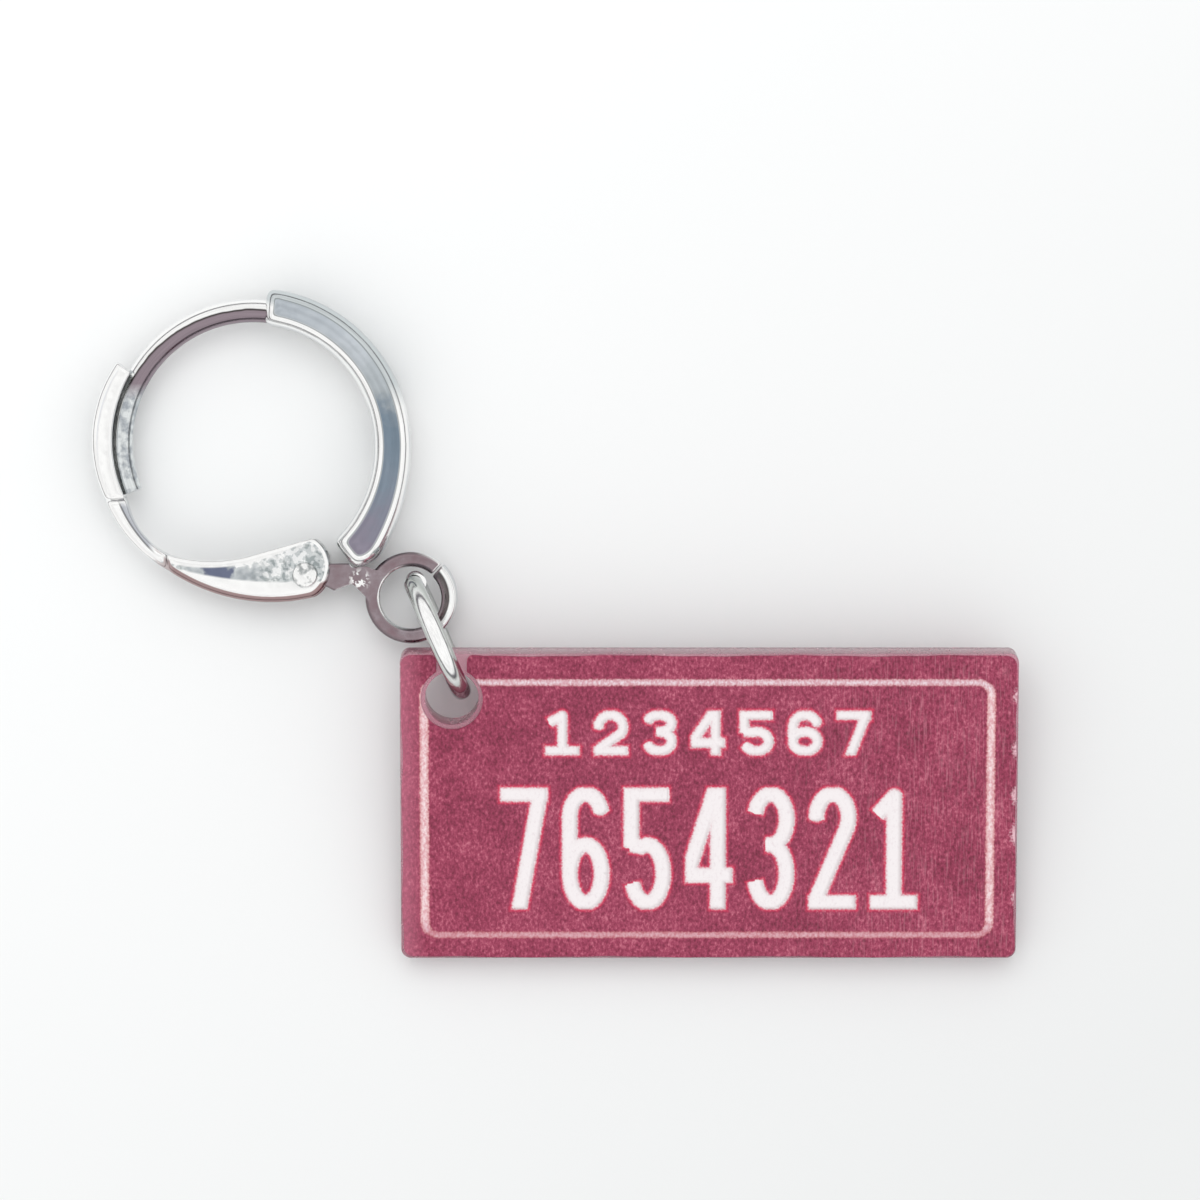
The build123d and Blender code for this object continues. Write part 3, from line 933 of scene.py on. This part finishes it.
def border_distance(points):
    """How far each point lies outside the border line, which is wider at the plate's ends."""
    middle = (np.array(BORDER_LOW) + np.array(BORDER_HIGH)) / 2
    half = (np.array(BORDER_HIGH) - np.array(BORDER_LOW)) / 2
    out = np.abs(points - middle) - (half - BORDER_CORNER)
    edge = np.linalg.norm(np.maximum(out, 0), axis=1) + np.minimum(out.max(axis=1), 0) - BORDER_CORNER
    upright = out[:, 0] > out[:, 1]
    right, top = points[:, 0] > middle[0], points[:, 1] > middle[1]
    width = np.where(upright, np.where(right, BORDER_WIDTHS["right"], BORDER_WIDTHS["left"]),
                     np.where(top, BORDER_WIDTHS["top"], BORDER_WIDTHS["bottom"]))
    return np.abs(edge) - width / 2


film_high = (PLATE_LENGTH - FILM_EDGE, PLATE_HEIGHT - FILM_TOP_EDGE)
film_loop = corner_points((FILM_EDGE, FILM_EDGE), film_high, FILM_CORNER)
slot_left, slot_right = HOLE_PLACE[0] - SLOT_WIDTH / 2, HOLE_PLACE[0] + SLOT_WIDTH / 2
slot_meet = math.degrees(math.acos(SLOT_WIDTH / 2 / KEYHOLE_RADIUS))
shoulder = (film_high[1] - SLOT_SHOULDER, SLOT_SHOULDER, SLOT_SHOULDER)
keyhole = bow(slot_right + SLOT_SHOULDER, *shoulder, 90, 180, 8)
keyhole += bow(*HOLE_PLACE, KEYHOLE_RADIUS, KEYHOLE_RADIUS, slot_meet, -180 - slot_meet, 60)
keyhole += bow(slot_left - SLOT_SHOULDER, *shoulder, 0, 90, 8)


def frayed_loop(loop, step, depth):
    """A closed loop of straight runs with more points on it, set in unevenly by up to this much."""
    middle = (PLATE_LENGTH / 2, PLATE_HEIGHT / 2)
    uneven = []
    for (x0, y0), (x1, y1) in zip(loop, loop[1:] + loop[:1]):
        parts = max(1, round(math.hypot(x1 - x0, y1 - y0) / step))
        for part in range(parts):
            x, y = x0 + (x1 - x0) * part / parts, y0 + (y1 - y0) * part / parts
            inset = depth * (0.5 + 0.35 * math.sin(0.9 * x + 1.7 * y) + 0.15 * math.sin(3.1 * x + 2.3 * y))
            beside_slot = y > HOLE_PLACE[1] and x < slot_right + 2 * SLOT_SHOULDER
            if not beside_slot:
                if abs(x - middle[0]) > middle[0] - FRAY_SIDE:
                    x += math.copysign(min(inset, abs(middle[0] - x)), middle[0] - x)
                if abs(y - middle[1]) > middle[1] - FRAY_SIDE:
                    y += math.copysign(inset, middle[1] - y)
            uneven.append((x, y))
    return uneven


film_loop = frayed_loop(film_loop, FRAY_STEP, FRAY_DEPTH)
slot_span = (slot_left - SLOT_SHOULDER - SLOT_MARGIN, slot_right + SLOT_SHOULDER + SLOT_MARGIN)
over_slot = [number for number, (x, y) in enumerate(film_loop)
             if y > film_high[1] - SLOT_MARGIN and slot_span[0] < x < slot_span[1]]
film_loop = film_loop[:over_slot[0]] + keyhole + film_loop[over_slot[-1] + 1:]


def printed_sheet(name, loop, thickness, step):
    """A thin sheet whose top is meshed finely enough to carry a print, one value at each point."""
    xs = np.arange(min(x for x, y in loop) + step, max(x for x, y in loop), step)
    ys = np.arange(min(y for x, y in loop) + step, max(y for x, y in loop), step)
    spots = [Vector(point) for point in loop] + [Vector((x, y)) for x in xs for y in ys]
    places, _, faces, *_ = geometry.delaunay_2d_cdt(spots, [], [list(range(len(loop)))], 1, 1e-6)
    work = bmesh.new()
    for place in places:
        work.verts.new((*place, thickness))
    work.verts.ensure_lookup_table()
    for face in faces:
        work.faces.new([work.verts[corner] for corner in face])
    rim = [edge for edge in work.edges if edge.is_boundary]
    walls = bmesh.ops.extrude_edge_only(work, edges=rim)["geom"]
    lower = [part for part in walls if isinstance(part, bmesh.types.BMVert)]
    for corner in lower:
        corner.co.z = 0
    bottom = [part for part in walls if isinstance(part, bmesh.types.BMEdge)]
    bmesh.ops.holes_fill(work, edges=bottom, sides=0)
    bmesh.ops.delete(work, geom=[vert for vert in work.verts if not vert.link_faces], context="VERTS")
    bmesh.ops.recalc_face_normals(work, faces=work.faces)
    mesh = bpy.data.meshes.new(name)
    work.to_mesh(mesh)
    work.free()
    return mesh


def kept_on_points(mesh, name, values):
    """A value kept at every point of a mesh, for its material to read."""
    mesh.attributes.new(name, "FLOAT", "POINT").data.foreach_set("value", np.asarray(values, np.float32))


film_mesh = printed_sheet("printed_film", film_loop, FILM_THICKNESS, FILM_STEP)
spots = np.empty(len(film_mesh.vertices) * 3)
film_mesh.vertices.foreach_get("co", spots)
spots = spots.reshape(-1, 3)[:, :2]
to_numbers = distance_to_rows(spots)
kept_on_points(film_mesh, "to_numbers", to_numbers)
# Painted shade along one side of the numbers, from a moved copy of the figures.
to_painted_shade = distance_to_rows(spots + np.array(NUMBER_SHADE_OFFSET))
kept_on_points(film_mesh, "to_painted_shade", np.where(to_numbers < 0, to_painted_shade, -1))
kept_on_points(film_mesh, "to_border", border_distance(spots))
to_chips = [np.hypot(spots[:, 0] - x, (spots[:, 1] - y) / CHIP_STRETCH) - reach
            for x, y, reach in EDGE_CHIPS]
kept_on_points(film_mesh, "to_chips", np.min(to_chips, axis=0))
kept_on_points(film_mesh, "along", spots[:, 0])
kept_on_points(film_mesh, "upward", spots[:, 1])
film_mesh.transform(Matrix.Scale(MM, 4))
film_mesh.transform(lay_on_plate(PLATE_THICKNESS))


def kept(tree, name):
    """A value that is kept at the points of the film."""
    return node(tree, "ShaderNodeAttribute", attribute_name=name).outputs["Fac"]


def ground_tone(tree, grain):
    """The burgundy ground: grainy, blotched, streaked towards its right and paler at its left edge."""
    blotched = worked(tree, "ADD", spread(tree, grain, *NOISE_SPAN, 0, 0.75),
                      wandering(tree, 1.6, 3.0, 0, 0.25))
    ground = tone_ramp(tree, blotched, GROUND_TONES)
    streaked = worked(tree, "MULTIPLY", spread(tree, drawn_grain(tree, PRINT_STREAK, 3.0), 0.52, 0.72),
                      spread(tree, kept(tree, "along"), *STREAK_ALONG, 0.03, 0.35))
    ground = mixed(tree, streaked, ground, STREAK_TONE)
    at_left = spread(tree, kept(tree, "along"), *MARGIN_ALONG, 0.0, 0.34)
    return mixed(tree, at_left, ground, MARGIN_TONE)


def number_tone(tree, grain, edge):
    """The white numbers: grainy, with painted shade along one side, and red at their edges."""
    tone = tone_ramp(tree, spread(tree, edge, *NUMBER_RANGE), NUMBER_TONES)
    shaded = worked(tree, "MULTIPLY", spread(tree, kept(tree, "to_painted_shade"), *SHADE_RANGE), SHADE_SHARE)
    tone = mixed(tree, shaded, tone, SHADE_TONE)
    return mixed(tree, spread(tree, grain, 0.52, 0.72, 0.0, 0.34), tone, NUMBER_GRAIN_TONE)


def border_tone(tree, grain, edge):
    """The pale border line: speckled, pink at its edges, and pinker along the plate's foot."""
    speckle = mixed(tree, spread(tree, grain, 0.40, 0.60), BORDER_DARK, BORDER_PALE)
    tone = product(tree, speckle, tone_ramp(tree, spread(tree, edge, *BORDER_RANGE), BORDER_TONES))
    upward = spread(tree, kept(tree, "upward"), 0.0, PLATE_HEIGHT)
    return product(tree, tone_ramp(tree, upward, BORDER_HEIGHT_TONES), tone)


def printed_ink():
    """The print: numbers and border on the ground, frayed a little, with a few chips at the right edge."""
    material, tree, surface = new_material("printed_ink")
    grain = drawn_grain(tree, PRINT_GRAIN, 4.0, 0.68)
    frayed = wandering(tree, 0.09, 2.0, -0.028, 0.028)
    number_edge = worked(tree, "ADD", kept(tree, "to_numbers"), frayed)
    border_edge = worked(tree, "ADD", kept(tree, "to_border"), frayed)
    chipped = worked(tree, "MULTIPLY_ADD", frayed, 3.0, kept(tree, "to_chips"))
    ground = ground_tone(tree, grain)
    numbers = number_tone(tree, grain, number_edge)
    border = border_tone(tree, grain, border_edge)
    tone = mixed(tree, spread(tree, number_edge, *NUMBER_FRINGE), ground, numbers)
    tone = mixed(tree, spread(tree, border_edge, *BORDER_FRINGE), tone, border)
    tone = mixed(tree, spread(tree, chipped, *CHIP_RANGE), tone, CHIP_TONE)
    wired(tree, surface, {
        "Base Color": tone,
        "Roughness": 0.42,
        "Specular IOR Level": 0.3,
        "Coat Weight": 0.15,
        "Coat Roughness": 0.15,
        "Normal": bumped(tree, grain, 0.5, 0.003),
    })
    return material


film = shown("film", film_mesh, printed_ink(), "charm")
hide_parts("charm_film")

# Table and light: a white sheet in a light tent, with a window of light over the far side of the hoop.
# Bright metal mirrors the tent's dark skirt and folds, and the rest is lit softly from above.
TABLE_HEIGHT = -1.4
TABLE_HALF = 300
# Painted shade: the paper darkens along this heading, towards the lower right.
PAPER_SHADE_HEADING = (12.0, -14.0, 0)
PAPER_SHADE_SPAN = (-0.2, 0.8)
PAPER_SHADE_TONES = [(0.0, (0.93, 0.94, 0.94, 1)), (1.0, (0.80, 0.81, 0.81, 1))]
TENT_SEEN = (0.95, 0.95, 0.95, 1)
TENT_MIRRORED = [
    (0.00, (0.85, 0.85, 0.85, 1)),
    (0.08, (0.50, 0.50, 0.50, 1)),
    (0.12, (0.16, 0.16, 0.17, 1)),
    (0.22, (0.18, 0.17, 0.19, 1)),
    (0.32, (0.98, 0.98, 0.98, 1)),
    (0.85, (1.06, 1.06, 1.06, 1)),
    (1.00, (1.02, 1.02, 1.02, 1)),
]
TENT_FALLING = [
    (0.00, (0.35, 0.35, 0.35, 1)),
    (0.50, (0.80, 0.80, 0.80, 1)),
    (1.00, (1.25, 1.25, 1.25, 1)),
]
TENT_FOLDS = 5.0
WINDOW_SIZE = (0.30, 0.24)
WINDOW_PLACE = (-0.02, 0.16, 0.39)
WINDOW_POWER = 0.32
VIEW_CENTER = Vector((14.36, -6.34, 1.3))
VIEW_DISTANCE = 250.0
VIEW_WIDTH = 49.38
SENSOR = 36.0


def white_paper():
    """White paper with painted shade that darkens it a little towards the lower right."""
    material, tree, surface = new_material("white_paper")
    toward_shade = measured(tree, "DOT_PRODUCT", object_place(tree), PAPER_SHADE_HEADING)
    wired(tree, surface, {
        "Base Color": tone_ramp(tree, spread(tree, toward_shade, *PAPER_SHADE_SPAN), PAPER_SHADE_TONES),
        "Roughness": 0.9,
        "Specular IOR Level": 0.2,
    })
    return material


def light_tent():
    """The tent as metal mirrors it, as it falls on everything else, and as it is seen directly."""
    world = bpy.data.worlds.new("light_tent")
    world.use_nodes = True
    tree = world.node_tree
    heading = node(tree, "ShaderNodeTexCoord").outputs["Generated"]
    upward = split(tree, heading)["Z"]
    folds = node(tree, "ShaderNodeTexNoise", {"Vector": heading, "Scale": TENT_FOLDS, "Detail": 2.0})
    mirrored = node(tree, "ShaderNodeVectorMath", {
        0: tone_ramp(tree, upward, TENT_MIRRORED),
        "Scale": spread(tree, folds.outputs["Fac"], 0.40, 0.58, 0.84, 1.0)}, operation="SCALE")
    falling = tone_ramp(tree, upward, TENT_FALLING)
    ray = node(tree, "ShaderNodeLightPath").outputs
    lit = mixed(tree, ray["Is Glossy Ray"], falling, mirrored.outputs["Vector"])
    seen = worked(tree, "MAXIMUM", ray["Is Camera Ray"], ray["Is Transmission Ray"])
    wired(tree, tree.nodes["Background"], {"Color": mixed(tree, seen, lit, TENT_SEEN)})
    return world


sheet_mesh = bpy.data.meshes.new("white_sheet")
sheet_mesh.from_pydata([(x * TABLE_HALF * MM, y * TABLE_HALF * MM, TABLE_HEIGHT * MM)
                        for x, y in ((-1, -1), (1, -1), (1, 1), (-1, 1))], [], [(0, 1, 2, 3)])
sheet_mesh.materials.append(white_paper())
white_sheet = placed("white_sheet", sheet_mesh)
bpy.context.scene.world = light_tent()

window = bpy.data.lights.new("window", "AREA")
window.shape = "RECTANGLE"
window.size, window.size_y = WINDOW_SIZE
window.energy = WINDOW_POWER
window_light = placed("window", window)
window_light.location = WINDOW_PLACE
window_light.rotation_euler = window_light.location.to_track_quat("Z", "Y").to_euler()
window_light.visible_glossy = False

lens = bpy.data.cameras.new("camera")
lens.sensor_width = SENSOR
lens.lens = SENSOR * VIEW_DISTANCE / VIEW_WIDTH
lens.clip_start = 0.01
lens.clip_end = 2.0
camera = placed("camera", lens)
camera.location = (VIEW_CENTER + Vector((0, 0, VIEW_DISTANCE))) * MM
bpy.context.scene.camera = camera
bpy.context.scene.view_settings.view_transform = "Standard"
